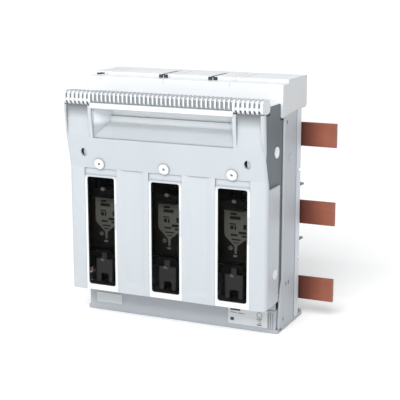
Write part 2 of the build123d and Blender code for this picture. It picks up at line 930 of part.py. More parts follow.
def brow_ends():
    """Recessed end panels beside the finger pocket, with the wall thickened behind them."""
    inner = pocket_half_width + pocket_wall
    for side in (-1, 1):
        low, high = sorted((side * inner, side * inner_x))
        block((low, high), (sill_front, sill_front + lid_front_wall), (sill_z, lid_top_z))
        low, high = sorted(
            (side * (pocket_half_width + brow_border), side * (half_width - brow_border))
        )
        block((low, high), (brow_front - 1.0, sill_front), (sill_z, lid_top_z), Mode.SUBTRACT)


def side_openings():
    """Upper side openings that show the dark cheeks, and the rounded lower corners."""
    rear = lid_rear + 20.0
    inner = half_width - side_opening_width
    bottom = (half_width - lid_low_corner, half_width - 0.3 * lid_low_corner)
    for side in (-1, 1):
        with BuildSketch(Plane.YZ.offset(side * inner)) as opening:
            outline(
                [
                    (lid_front + 6.4, side_opening_z),
                    (lid_front, side_opening_z + 24.5),
                    (lid_front - 3.5, side_opening_z + 37.5),
                    (lid_front - 7.4, lid_top_z + 1.0),
                    (rear, lid_top_z + 1.0),
                    (rear, side_opening_z),
                ]
            )
        extrude(opening.sketch, amount=side * (side_opening_width + 1.0), mode=Mode.SUBTRACT)
        with BuildSketch(Plane.XZ.offset(-lid_front + 1.0)) as corner:
            outline(
                [
                    (side * bottom[0], lid_bottom_z - 1.0),
                    (side * bottom[0], lid_bottom_z),
                    (side * bottom[1], lid_bottom_z + 0.3 * lid_low_corner),
                    (side * half_width, lid_bottom_z + lid_low_corner),
                    (side * (half_width + 1.0), lid_bottom_z + lid_low_corner),
                    (side * (half_width + 1.0), lid_bottom_z - 1.0),
                ]
            )
        extrude(corner.sketch, amount=lid_front - lid_rear - 2.0, mode=Mode.SUBTRACT)


def window_track(x):
    """Dovetail track and window opening for one sliding window."""
    wide = slide_width / 2 + slide_side_gap
    track_top = window_top_z + slide_rim + track_top_gap
    with BuildSketch(Plane.XY.offset(lid_bottom_z)) as track:
        outline(
            [
                (x - wide, lid_front), (x + wide, lid_front),
                (x + wide + slide_undercut, lid_front + track_depth),
                (x - wide - slide_undercut, lid_front + track_depth),
            ]
        )
    extrude(track.sketch, amount=track_top - lid_bottom_z, mode=Mode.SUBTRACT)
    block(
        (x - window_width / 2, x + window_width / 2),
        (lid_front, lid_front + lid_front_wall),
        (window_bottom_z, window_top_z), Mode.SUBTRACT,
    )


def dome(x, outward):
    """Raised round boss above a window, with a small hole in its middle."""
    face = Plane((x, lid_front, lid_bend_z), x_dir=(1, 0, 0), z_dir=outward)
    with BuildSketch(face) as disc:
        with Locations((0, dome_height)):
            Circle(dome_radius)
            RegularPolygon(dome_hole_radius, 6, mode=Mode.SUBTRACT)
    extrude(disc.sketch, amount=dome_rise, dir=outward)


def valley(x):
    """Shallow basin in the lid's face between two windows."""
    low = lid_bottom_z + 9.0
    high = lid_bend_z - 0.3
    sections = []
    for depth, half, floor in (
        (0.0, valley_width / 2, low), (valley_depth, valley_floor_width / 2, low + 6.0)
    ):
        corner = 0.4 * half
        with BuildSketch(Plane.XZ.offset(-lid_front - depth)) as section:
            outline(
                [
                    (x - half, high), (x - half, floor + corner),
                    (x - half + 0.3 * corner, floor + 0.3 * corner), (x - half + corner, floor),
                    (x + half - corner, floor), (x + half - 0.3 * corner, floor + 0.3 * corner),
                    (x + half, floor + corner), (x + half, high),
                ]
            )
        sections.append(section.sketch.face())
    loft(sections, ruled=True, mode=Mode.SUBTRACT)


def seal_holes(outward):
    """Two oval sealing holes in the sloping brow, each half closed by a tongue behind it."""
    middle_z = (lid_bend_z + sill_z) / 2
    for x in (-pole_pitch - 20.5, pole_pitch + 20.5):
        face = Plane((x, lid_front - sill_rise / 2, middle_z), x_dir=(1, 0, 0), z_dir=outward)
        with BuildSketch(face) as hole:
            Ellipse(4.2, 5.6)
        extrude(hole.sketch, amount=-lid_front_wall - 1.0, mode=Mode.SUBTRACT)
        with BuildSketch(face.offset(-lid_front_wall + 0.2)) as tongue:
            with Locations((2.2, 0)):
                Rectangle(7.0, 13.5)
        extrude(tongue.sketch, amount=-2.0)


def hinge_bosses():
    """Bearing bosses in both side walls, and the gaps in the bottom wall for the lugs."""
    bore_depth = hinge_boss_length + side_wall_thickness - 0.6
    for side in (-1, 1):
        with BuildSketch(Plane.YZ.offset(side * boss_inner)) as boss:
            with Locations((hinge_y, hinge_z)):
                RegularPolygon(hinge_boss_radius, 8, major_radius=False, rotation=22.5)
        extrude(boss.sketch, amount=side * hinge_boss_length)
        low, high = sorted((side * (lug_inner - 0.6), side * boss_inner))
        block(
            (low, high), (hinge_y - 7.0, plate_front + 5.0),
            (lid_bottom_z, hinge_z + hinge_boss_radius), Mode.SUBTRACT,
        )
        with BuildSketch(Plane.YZ.offset(side * boss_inner)) as bore:
            with Locations((hinge_y, hinge_z)):
                Circle(hinge_pin_radius + hinge_running_gap)
        extrude(bore.sketch, amount=side * bore_depth, mode=Mode.SUBTRACT)


def grip_pocket():
    """Finger pocket behind the opening in the lid's brow: sloping floor, stepped back wall."""
    with BuildPart() as trough:
        add(pocket(pocket_wall))
        add(pocket(0.0), mode=Mode.SUBTRACT)
        add(lid_hollow(), mode=Mode.INTERSECT)
        lip_block(Mode.SUBTRACT)
    save(trough, "grip_pocket")


def grip_bar():
    """Full-width grip: a rear spine and a front band that carry ribs at an even pitch."""
    half = grip_length / 2
    top = lid_top_z + grip_height
    band_z = (lip_bottom_z + lip_height + 0.5, lip_bottom_z + lip_height + 4.5)
    spine_rear = grip_rear - grip_spine_inset
    cut = 0.293 * grip_corner
    bevel = 0.6 * grip_corner
    count = int(grip_length // rib_pitch)
    with BuildPart() as grip:
        block(
            (-half, half), (spine_rear - grip_spine_depth, spine_rear), (lid_top_z, top - rib_height)
        )
        block((-half, half), (grip_front + 0.6, grip_front + 3.6), band_z)
        for step in range(count + 1):
            x = (step - count / 2) * rib_pitch
            at_end = abs(x) > pocket_half_width + rib_thickness
            thickness = end_rib_thickness if at_end else rib_thickness
            with BuildSketch(Plane.YZ.offset(x - thickness / 2)):
                outline(
                    [
                        (grip_front, lid_top_z + grip_corner),
                        (grip_front + cut, lid_top_z + cut),
                        (grip_front + grip_corner, lid_top_z),
                        (grip_rear - bevel, lid_top_z),
                        (grip_rear, lid_top_z + bevel),
                        (grip_rear, top - bevel),
                        (grip_rear - bevel, top),
                        (grip_front + grip_corner, top),
                        (grip_front + cut, top - cut),
                        (grip_front, top - grip_corner),
                    ]
                )
            extrude(amount=thickness)
        block(
            (-pocket_half_width - 1.0 - cheek_gap, pocket_half_width + 1.0 + cheek_gap),
            (grip_front - 1.0, lip_rear + cheek_gap),
            (lid_top_z, lip_bottom_z + lip_height),
            Mode.SUBTRACT,
        )
    save(grip, "grip_bar")


def side_panel(side, name):
    """Dark cheek inside the lid's side wall, which slides into the housing behind it."""
    outer = half_width - lid_side_wall
    front_gap = lid_front_wall + cheek_gap
    rear = lid_rear + cheek_rear_reach + 0.3
    crest_rear = cover_front - 2.0
    with BuildPart() as panel:
        with BuildSketch(Plane.YZ.offset(outer - cheek_thickness)):
            outline(
                [
                    (lid_front + front_gap, lid_bottom_z + cheek_lift),
                    (lid_front + front_gap, lid_bend_z),
                    (sill_front + front_gap, sill_z),
                    (sill_front + front_gap, lid_top_z - lid_wall),
                    (grip_rear + 1.0, lid_top_z - lid_wall),
                    (grip_rear + 1.0, lid_top_z + 7.0),
                    (crest_rear, lid_top_z + 7.0),
                    (crest_rear + 1.0, shoulder_front_z - 2.6),
                    (rear, shoulder_front_z - 2.6),
                    (rear, lid_bottom_z + cheek_lift),
                ]
            )
        extrude(amount=cheek_thickness)
        if side < 0:
            mirror(about=Plane.YZ, mode=Mode.REPLACE)
    save(panel, name)


def side_buttons():
    """A round button on each dark cheek and a slotted hinge cap on each side of the lid."""
    button_radius = 7.0
    button_z = lid_top_z - 50.0
    cap_radius = 6.0
    cap_y = hinge_y - 8.5
    cap_z = hinge_z + 35.5
    with BuildPart() as buttons:
        with BuildSketch(Plane.YZ.offset(half_width - lid_side_wall)):
            with Locations((hinge_y - 0.5, button_z)):
                RegularPolygon(button_radius, 28)
        extrude(amount=1.2)
        with BuildSketch(Plane.YZ.offset(half_width)):
            with Locations((cap_y, cap_z)):
                RegularPolygon(cap_radius, 24)
                Rectangle(1.6, 6.0, mode=Mode.SUBTRACT)
        extrude(amount=0.8)
        mirror(about=Plane.YZ)
    save(buttons, "side_buttons")


def windows():
    """Sliding window frames with clear panes, one pair for each pole."""
    back = lid_front + track_depth - slide_back_gap
    front = back - slide_thickness
    wide = slide_width / 2
    bottom = lid_bottom_z + slide_bottom_gap
    top = window_top_z + slide_rim
    thumb_z = (window_middle_z + 4.6, window_middle_z + 37.6)
    for number, x in enumerate(pole_x, start=1):
        with BuildPart() as frame:
            with BuildSketch(Plane.XY.offset(bottom)):
                outline(
                    [
                        (x - wide, front), (x + wide, front),
                        (x + wide + slide_undercut, back), (x - wide - slide_undercut, back),
                    ]
                )
            extrude(amount=top - bottom)
            top_corners = frame.edges().group_by(Axis.Z)[-1].filter_by(
                lambda e: abs(e.center().X - x) > wide - 1.0
            )
            chamfer(top_corners, length=slide_corner)
            with BuildSketch(Plane.XZ.offset(-front)):
                with Locations((x, window_middle_z)):
                    RectangleRounded(window_width, window_height, window_radius)
            extrude(amount=-slide_thickness, mode=Mode.SUBTRACT)
            block((x + wide - 2.6, x + wide), (front, front + 0.8), thumb_z, Mode.SUBTRACT)
        save(frame, f"window_frame_{number}")

        with BuildPart() as pane:
            with Locations((x, back, window_middle_z)):
                Box(
                    window_width, pane_thickness, window_height,
                    align=(Align.CENTER, Align.MAX, Align.CENTER),
                )
            chamfer(pane.edges().filter_by(Axis.Y), length=window_radius)
        save(pane, f"window_pane_{number}")


def fuse_carriers():
    """Moulded frames inside the lid that hold the fuse links by their grip lugs."""
    seat = lid_front + lid_front_wall
    half = carrier_half_width
    inner = half - carrier_rail
    rear = fuse_front - 1.0
    high = fuse_z + fuse_body_height / 2 + end_plate
    low = fuse_z - fuse_body_height / 2 - end_plate
    top = high + carrier_margin
    bottom = window_bottom_z + 1.0
    leg_top = bottom + 0.26 * (low - bottom)
    for number, x in enumerate(pole_x, start=1):
        with BuildPart() as carrier:
            for side in (-1, 1):
                rail_low, rail_high = sorted((x + side * inner, x + side * half))
                block((rail_low, rail_high), (seat, rear - 4.0), (bottom, top))
            for edge in (low - carrier_bar, high):
                block((x - half, x + half), (rear - 5.0, rear), (edge, edge + carrier_bar))
            block((x - 13.0, x + 13.0), (rear - 8.0, rear), (leg_top, low - carrier_bar))
            for leg in (-9.0, 9.0):
                block((x + leg - 4.0, x + leg + 4.0), (rear - 8.0, rear), (bottom + 1.0, leg_top))
        save(carrier, f"fuse_carrier_{number}")


def fuses():
    """Fuse links: ceramic body, end plates with grip lugs, and two contact blades."""
    top = fuse_z + fuse_body_height / 2
    bottom = fuse_z - fuse_body_height / 2
    blade_length = (fuse_length - fuse_body_height) / 2 - end_plate
    half = fuse_width / 2
    plate_half = half - end_plate_inset
    for number, x in enumerate(pole_x, start=1):
        with BuildPart() as body:
            with BuildSketch(Plane.XY.offset(bottom)):
                outline(eased((x - half, x + half), (fuse_front, fuse_rear), fuse_corner))
            extrude(amount=fuse_body_height)
        save(body, f"fuse_body_{number}")

        with BuildPart() as plates:
            for low in (top, bottom - end_plate):
                with BuildSketch(Plane.XY.offset(low)):
                    outline(
                        eased(
                            (x - plate_half, x + plate_half),
                            (fuse_front + end_plate_inset, fuse_rear - end_plate_inset),
                            fuse_corner,
                        )
                    )
                    with Locations((x, fuse_front + 3.0)):
                        Rectangle(
                            lug_width * 0.55, lug_reach + 3.0, align=(Align.CENTER, Align.MAX)
                        )
                    with Locations((x, fuse_front - lug_reach)):
                        Rectangle(lug_width, 4.0, align=(Align.CENTER, Align.MIN))
                extrude(amount=end_plate)
        save(plates, f"fuse_end_plates_{number}")

        with BuildPart() as blades:
            for low in (top + end_plate, bottom - end_plate - blade_length):
                block(
                    (x - blade_thickness / 2, x + blade_thickness / 2),
                    (blade_rear - blade_width, blade_rear), (low, low + blade_length),
                )
            tips = blades.edges().filter_by(Axis.X).group_by(Axis.Z)
            chamfer(tips[0] + tips[-1], length=3.0)
        save(blades, f"fuse_blades_{number}")


bottom_plate()
lower_cover()
side_wall(-1, "side_wall_left")
side_wall(1, "side_wall_right")
base_moulding()
adapter()
phase_shelves()
top_cover()
busbars()
contacts()
bolts()
arc_chambers()
hinge_pins()
lid_shell()
grip_pocket()
grip_bar()
side_panel(-1, "side_panel_left")
side_panel(1, "side_panel_right")
side_buttons()
windows()
fuse_carriers()
fuses()
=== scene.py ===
"""Looks of a three-pole fuse switch disconnector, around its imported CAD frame.

Lengths are in metres, in the part's own frame: X along the busbars, Y to the rear, Z up.
"""
import math

import bmesh
import bpy
from mathutils import Matrix, Vector


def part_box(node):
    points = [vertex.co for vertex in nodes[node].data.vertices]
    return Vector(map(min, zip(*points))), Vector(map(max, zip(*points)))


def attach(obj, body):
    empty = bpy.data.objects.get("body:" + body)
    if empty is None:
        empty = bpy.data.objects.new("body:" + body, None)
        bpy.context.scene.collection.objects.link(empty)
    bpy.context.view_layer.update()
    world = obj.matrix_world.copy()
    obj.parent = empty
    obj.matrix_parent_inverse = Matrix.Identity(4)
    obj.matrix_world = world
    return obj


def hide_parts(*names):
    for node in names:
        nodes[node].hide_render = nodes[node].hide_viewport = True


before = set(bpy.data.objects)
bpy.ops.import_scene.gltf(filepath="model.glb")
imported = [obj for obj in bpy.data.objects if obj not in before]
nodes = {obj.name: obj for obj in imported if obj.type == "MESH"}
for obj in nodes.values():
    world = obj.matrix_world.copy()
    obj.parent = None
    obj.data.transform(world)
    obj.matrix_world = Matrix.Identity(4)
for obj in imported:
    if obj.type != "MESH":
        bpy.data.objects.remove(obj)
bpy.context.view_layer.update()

MM = 0.001
SIDES = (-1, 1)
POLES = (1, 2, 3)
POLE_X = (-89.5 * MM, 0.0, 89.5 * MM)

# Camera, fitted to the photograph
IMAGE_SIZE = 400
SENSOR = 36.0
FOCAL_PIXELS = 1120.0
CAMERA_PLACE = Vector((0.5913, -1.2867, 0.4570))
CAMERA_AZIMUTH = math.radians(24.37)
CAMERA_ELEVATION = math.radians(12.25)
CLIP_END = 56.0

# Light
WORLD_COLOUR = (0.98, 0.99, 1.0, 1.0)
WORLD_STRENGTH = 0.58
KEY_POWER = 92.0
KEY_PLACE = (0.2, -2.2, 2.05)
KEY_TARGET = (0, 0, 0.15)
KEY_SIZE = (2.2, 1.4)

# Floor: radius and height of its rings, its tones, and its faint glow, stronger far away
FLOOR_PROFILE = ((10.0, 0.0), (12.0, 0.25), (13.3, 1.0), (14.0, 2.6))
FLOOR_STEPS = 64
FLOOR_TONES = ((0.94, 0.94, 0.945), (0.96, 0.96, 0.96))
FLOOR_ROUGHNESS = 0.9
GLOW_COLOUR = (1.0, 1.0, 1.0, 1.0)
GLOW_REACH = (0.6, 3.0)
GLOW_STRENGTH = (0.12, 0.46)

# Base colours
LID_WHITE = (0.402, 0.430, 0.452)
# Painted light on the grip pocket and on the lid's front lip
POCKET_PAINTED_LIGHT = (0.68, 0.71, 0.73)
LIP_PAINTED_LIGHT = (0.60, 0.62, 0.635)
GRIP_WHITE = (0.56, 0.58, 0.60)
# Cell floors between the grip's ribs: painted shade
CELL_SHADE_GREY = (0.20, 0.215, 0.22)
FRAME_WHITE = (0.60, 0.62, 0.635)
COVER_WHITE = (0.71, 0.73, 0.745)
BUTTON_WHITE = (0.72, 0.74, 0.76)
# Carrier clips: a light colour as a painted glint
CLIP_GLINT_WHITE = (0.8, 0.8, 0.78)
HOUSING_GREY = (0.393, 0.42, 0.445)
ADAPTER_GREY = (0.54, 0.58, 0.62)
CHEEK_GREY = (0.102, 0.122, 0.135)
SHELF_GREY = (0.14, 0.16, 0.17)
PAD_GREY = (0.17, 0.17, 0.165)
RAIL_BLACK = (0.012, 0.012, 0.012)
CHAMBER_GREY = (0.05, 0.052, 0.055)
PLATE_GREY = (0.56, 0.58, 0.59)
CARD_GREY = (0.50, 0.53, 0.54)
FUSE_LABEL = (0.43, 0.44, 0.375)
# Painted shadow in the top cover's slots and in the side walls' slots
SLOT_SHADOW_DARK = (0.035, 0.037, 0.04)
SEAM_GREY = (0.15, 0.16, 0.17)
PRINT_DARK = (0.03, 0.032, 0.03)
PRINT_GREY = (0.16, 0.17, 0.18)
PANE_DARK = (0.002, 0.002, 0.002, 1.0)
# Fuse ceramic, painted almost black as the shade inside the closed lid
CERAMIC_SHADE_TONES = ((0.016, 0.013, 0.012), (0.030, 0.025, 0.021))
ZINC = (0.55, 0.56, 0.58)
SILVER = (0.70, 0.69, 0.66)
DULL_TIN = (0.055, 0.055, 0.052)
DULL_COPPER = (0.16, 0.075, 0.05)
COPPER_TONES = ((0.20, 0.060, 0.034), (0.275, 0.086, 0.050), (0.34, 0.12, 0.072))
COPPER_ROOT = (0.105, 0.018, 0.008)
COPPER_SHADE = (0.05, 0.012, 0.006)

# The part of 0..1 where the noise texture's values lie
NOISE_RANGE = (0.3, 0.7)

# Softened edges of the pieces
SHARP_ANGLE = math.radians(35)
BEVEL_SEGMENTS = 3


def new_material(name):
    """An empty node material with its shader; returns the material, its tree and the shader."""
    material = bpy.data.materials.new(name)
    material.use_nodes = True
    tree = material.node_tree
    tree.nodes.clear()
    output = tree.nodes.new("ShaderNodeOutputMaterial")
    shader = tree.nodes.new("ShaderNodeBsdfPrincipled")
    tree.links.new(shader.outputs["BSDF"], output.inputs["Surface"])
    return material, tree, shader


def part_place(tree):
    """The place of a point in the part's own coordinates."""
    return tree.nodes.new("ShaderNodeTexCoord").outputs["Object"]


def noise(tree, scale, detail=2.0, stretch=(1.0, 1.0, 1.0)):
    """Noise in the part's own coordinates, stretched along its axes."""
    mapping = tree.nodes.new("ShaderNodeMapping")
    mapping.inputs["Scale"].default_value = stretch
    texture = tree.nodes.new("ShaderNodeTexNoise")
    texture.inputs["Scale"].default_value = scale
    texture.inputs["Detail"].default_value = detail
    tree.links.new(part_place(tree), mapping.inputs["Vector"])
    tree.links.new(mapping.outputs["Vector"], texture.inputs["Vector"])
    return texture.outputs["Fac"]


def ramp(tree, value, stops):
    """A colour ramp over a value; stops are (position, colour) pairs."""
    node = tree.nodes.new("ShaderNodeValToRGB")
    elements = node.color_ramp.elements
    for element, (position, colour) in zip(elements, (stops[0], stops[-1])):
        element.position = position
        element.color = (*colour, 1.0)
    for position, colour in stops[1:-1]:
        elements.new(position).color = (*colour, 1.0)
    tree.links.new(value, node.inputs["Fac"])
    return node.outputs["Color"]


def map_range(tree, value, source, target=(0.0, 1.0)):
    """Maps a value from one range to another, and holds it at their ends."""
    node = tree.nodes.new("ShaderNodeMapRange")
    node.inputs["From Min"].default_value = source[0]
    node.inputs["From Max"].default_value = source[1]
    node.inputs["To Min"].default_value = target[0]
    node.inputs["To Max"].default_value = target[1]
    tree.links.new(value, node.inputs["Value"])
    return node.outputs["Result"]


def shade(colour, factor):
    return tuple(min(1.0, c * factor) for c in colour)


def span(middle, half):
    """The two limits on both sides of a middle."""
    return middle - half, middle + half


def along(tree, axis, start, end):
    """Rises from 0 to 1 between two places along an axis, the same on both sides of the part."""
    split = tree.nodes.new("ShaderNodeSeparateXYZ")
    size = tree.nodes.new("ShaderNodeMath")
    size.operation = "ABSOLUTE"
    tree.links.new(part_place(tree), split.inputs["Vector"])
    tree.links.new(split.outputs[axis], size.inputs[0])
    return map_range(tree, size.outputs["Value"], (start, end))


def blend(tree, factor, first, second):
    """Mixes a colour socket, at 0, with a plain colour, at 1."""
    mix = tree.nodes.new("ShaderNodeMix")
    mix.data_type = "RGBA"
    mix.inputs[7].default_value = (*second, 1.0)
    tree.links.new(first, mix.inputs[6])
    tree.links.new(factor, mix.inputs[0])
    return mix.outputs[2]


def surface_normal(tree, shader, height, strength, distance, edge_radius):
    """Fine relief over edges that are softened by a small radius."""
    bump = tree.nodes.new("ShaderNodeBump")
    bump.inputs["Strength"].default_value = strength
    bump.inputs["Distance"].default_value = distance
    tree.links.new(height, bump.inputs["Height"])
    if edge_radius > 0:
        bevel = tree.nodes.new("ShaderNodeBevel")
        bevel.samples = 4
        bevel.inputs["Radius"].default_value = edge_radius
        tree.links.new(bevel.outputs["Normal"], bump.inputs["Normal"])
    tree.links.new(bump.outputs["Normal"], shader.inputs["Normal"])


def crevice(tree, colour, dark, distance):
    """Darkens a colour where surfaces meet closely: painted shade, and dust."""
    occlusion = tree.nodes.new("ShaderNodeAmbientOcclusion")
    occlusion.samples = 6
    occlusion.inputs["Distance"].default_value = distance
    mix = tree.nodes.new("ShaderNodeMix")
    mix.data_type = "RGBA"
    mix.inputs[6].default_value = (*dark, 1.0)
    tree.links.new(colour, mix.inputs[7])
    tree.links.new(occlusion.outputs["AO"], mix.inputs[0])
    return mix.outputs[2]


def plastic(name, colour, roughness, edge=0.6 * MM, crevice_shade_and_dust=0.55, fade=None):
    """Moulded plastic: faint flow shading, fine grain, softened edges, and crevices darkened by
    painted shade and dust.

    A fade is an axis, the two places between which it runs, and the colour it ends in; the fades
    paint light and shade into the colour.
    """
    flow_scale = 14.0
    flow_stretch = (1.0, 1.0, 0.35)
    flow_tones = (0.975, 1.02)
    grain_scale = 1500.0
    grain_strength = 0.25
    grain_height = 0.05 * MM
    crevice_width = 5 * MM
    material, tree, shader = new_material(name)
    flow = noise(tree, flow_scale, detail=3.0, stretch=flow_stretch)
    tones = [shade(colour, tone) for tone in flow_tones]
    colours = ramp(tree, flow, list(zip(NOISE_RANGE, tones)))
    if fade:
        axis, start, end, last = fade
        colours = blend(tree, along(tree, axis, start, end), colours, last)
    # Painted shade and dust in the crevices
    shaded = crevice(tree, colours, shade(colour, crevice_shade_and_dust), crevice_width)
    tree.links.new(shaded, shader.inputs["Base Color"])
    grain = noise(tree, grain_scale)
    smoothest = roughness - 0.05
    roughest = roughness + 0.06
    gloss = map_range(tree, grain, NOISE_RANGE, (smoothest, roughest))
    tree.links.new(gloss, shader.inputs["Roughness"])
    surface_normal(tree, shader, grain, grain_strength, grain_height, edge)
    shader.inputs["Specular IOR Level"].default_value = 0.35
    return material


def metal(name, colour, roughness, stretch):
    """Drawn or plated metal with fine streaks along its length."""
    streak_scale = 260.0
    streak_gloss = 0.12
    streak_strength = 0.2
    streak_height = 0.04 * MM
    blotch_scale = 30.0
    blotch_places = (0.3, 0.5, 0.72)
    blotch_tones = (shade(colour, 0.8), colour, shade(colour, 1.12))
    edge = 0.35 * MM
    material, tree, shader = new_material(name)
    streaks = noise(tree, streak_scale, detail=3.0, stretch=stretch)
    blotches = noise(tree, blotch_scale, detail=4.0)
    colours = ramp(tree, blotches, list(zip(blotch_places, blotch_tones)))
    tree.links.new(colours, shader.inputs["Base Color"])
    gloss = map_range(tree, streaks, NOISE_RANGE, span(roughness, streak_gloss))
    tree.links.new(gloss, shader.inputs["Roughness"])
    surface_normal(tree, shader, streaks, streak_strength, streak_height, edge)
    shader.inputs["Metallic"].default_value = 1.0
    return material


def copper():
    """Rolled copper bar, brown with oxide, and darker where it leaves the housing."""
    streak_scale = 220.0
    streak_stretch = (0.06, 1.0, 1.0)
    patch_scale = 18.0
    patch_stretch = (0.5, 1.0, 1.0)
    patch_places = (0.25, 0.5, 0.75)
    roughness = (0.40, 0.58)
    root = (165 * MM, 133 * MM)
    crevice_width = 22 * MM
    material, tree, shader = new_material("copper")
    streaks = noise(tree, streak_scale, detail=3.0, stretch=streak_stretch)
    patches = noise(tree, patch_scale, detail=5.0, stretch=patch_stretch)
    colours = ramp(tree, patches, list(zip(patch_places, COPPER_TONES)))
    darker = blend(tree, along(tree, "X", *root), colours, COPPER_ROOT)
    shaded = crevice(tree, darker, COPPER_SHADE, crevice_width)
    tree.links.new(shaded, shader.inputs["Base Color"])
    gloss = map_range(tree, streaks, NOISE_RANGE, roughness)
    tree.links.new(gloss, shader.inputs["Roughness"])
    surface_normal(
        tree, shader, streaks, strength=0.25, distance=0.05 * MM, edge_radius=0.4 * MM
    )
    shader.inputs["Metallic"].default_value = 0.35
    return material


def clear_pane():
    """Smoke-tinted clear pane."""
    material, tree, shader = new_material("clear_pane")
    shader.inputs["Base Color"].default_value = PANE_DARK
    shader.inputs["Alpha"].default_value = 0.42
    roughness = (0.05, 0.12)
    smear = noise(tree, scale=22.0, detail=3.0, stretch=(1.0, 1.0, 0.4))
    gloss = map_range(tree, smear, NOISE_RANGE, roughness)
    tree.links.new(gloss, shader.inputs["Roughness"])
    shader.inputs["IOR"].default_value = 1.45
    shader.inputs["Specular IOR Level"].default_value = 0.02
    return material


def ceramic():
    """Unglazed fuse ceramic, mottled and slightly rough, painted almost black as the shade inside
    the closed lid.
    """
    material, tree, shader = new_material("ceramic")
    mottle = noise(tree, scale=90.0, detail=4.0)
    colours = ramp(tree, mottle, list(zip(NOISE_RANGE, CERAMIC_SHADE_TONES)))
    tree.links.new(colours, shader.inputs["Base Color"])
    roughness = (0.45, 0.6)
    gloss = map_range(tree, mottle, NOISE_RANGE, roughness)
    tree.links.new(gloss, shader.inputs["Roughness"])
    surface_normal(
        tree, shader, mottle, strength=0.3, distance=0.1 * MM, edge_radius=0.8 * MM
    )
    return material


def floor_material():
    """Pale matt floor with a faint glow that grows with the distance from the object."""
    material, tree, shader = new_material("floor")
    tone = noise(tree, scale=3.0)
    colours = ramp(tree, tone, list(zip(NOISE_RANGE, FLOOR_TONES)))
    tree.links.new(colours, shader.inputs["Base Color"])
    shader.inputs["Roughness"].default_value = FLOOR_ROUGHNESS
    shader.inputs["Specular IOR Level"].default_value = 0.0
    shader.inputs["Emission Color"].default_value = GLOW_COLOUR
    distance = tree.nodes.new("ShaderNodeVectorMath")
    distance.operation = "LENGTH"
    tree.links.new(part_place(tree), distance.inputs[0])
    glow = map_range(tree, distance.outputs["Value"], GLOW_REACH, GLOW_STRENGTH)
    tree.links.new(glow, shader.inputs["Emission Strength"])
    return material


def dress(names, material):
    """Gives CAD nodes whose names start with one of the given words a material."""
    for name, node in nodes.items():
        if name.startswith(names):
            node.data.materials.clear()
            node.data.materials.append(material)


def placed(points, origin):
    """Points in millimetres from an origin, turned into metres."""
    return [(origin[0] + u * MM, origin[1] + v * MM) for u, v in points]


def rounded(corners, radius, steps=5):
    """An outline through straight corners, each rounded with an arc."""
    points = []
    count = len(corners)
    for index, corner in enumerate(corners):
        here = Vector(corner)
        back = (Vector(corners[index - 1]) - here).normalized()
        ahead = (Vector(corners[(index + 1) % count]) - here).normalized()
        half = back.angle(ahead) / 2
        centre = here + (back + ahead).normalized() * radius / math.sin(half)
        start = here + back * radius / math.tan(half) - centre
        end = here + ahead * radius / math.tan(half) - centre
        first = math.atan2(start.y, start.x)
        sweep = math.remainder(math.atan2(end.y, end.x) - first, math.tau)
        for step in range(steps + 1):
            angle = first + sweep * step / steps
            points.append(centre + radius * Vector((math.cos(angle), math.sin(angle))))
    return points


def rectangle(u, v):
    return [(u[0], v[0]), (u[1], v[0]), (u[1], v[1]), (u[0], v[1])]


def circle(middle, radius, steps=32):
    turns = [math.tau * step / steps for step in range(steps)]
    return [(middle[0] + radius * math.cos(t), middle[1] + radius * math.sin(t)) for t in turns]


def prism(shape, outline, axis, limits):
    """Adds a straight prism: an outline across an axis, between two limits along it."""
    rings = []
    for w in limits:
        places = {
            "X": [(w, u, v) for u, v in outline],
            "Y": [(u, w, v) for u, v in outline],
            "Z": [(u, v, w) for u, v in outline],
        }[axis]
        rings.append([shape.verts.new(place) for place in places])
    near, far = rings
    shape.faces.new(near)
    shape.faces.new(far)
    for index in range(len(outline)):
        shape.faces.new((near[index - 1], near[index], far[index], far[index - 1]))


def flat_ring(shape, middle, radii, limits, steps=24):
    """Adds a flat ring across Y."""
    rings = []
    for w in limits:
        for radius in radii:
            rings.append([shape.verts.new((u, w, v)) for u, v in circle(middle, radius, steps)])
    inner_front, outer_front, inner_back, outer_back = rings
    around = [inner_front, outer_front, outer_back, inner_back, inner_front]
    for index in range(steps):
        for first, second in zip(around, around[1:]):
            shape.faces.new((first[index - 1], first[index], second[index], second[index - 1]))


def finish_piece(shape, name, material, body, bevel=0.0, replaced=()):
    """Turns a bmesh into a piece of the object, with softened edges, riding on a body."""
    bmesh.ops.recalc_face_normals(shape, faces=shape.faces)
    mesh = bpy.data.meshes.new(name)
    shape.to_mesh(mesh)
    shape.free()
    mesh.materials.append(material)
    piece = bpy.data.objects.new(name, mesh)
    bpy.context.scene.collection.objects.link(piece)
    mesh.shade_smooth()
    if bevel > 0:
        soft = piece.modifiers.new("soft_edges", "BEVEL")
        soft.width = bevel
        soft.segments = BEVEL_SEGMENTS
        soft.limit_method = "ANGLE"
        soft.angle_limit = SHARP_ANGLE
        soft.harden_normals = True
    else:
        mesh.set_sharp_from_angle(angle=SHARP_ANGLE)
    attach(piece, body)
    if replaced:
        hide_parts(*replaced)


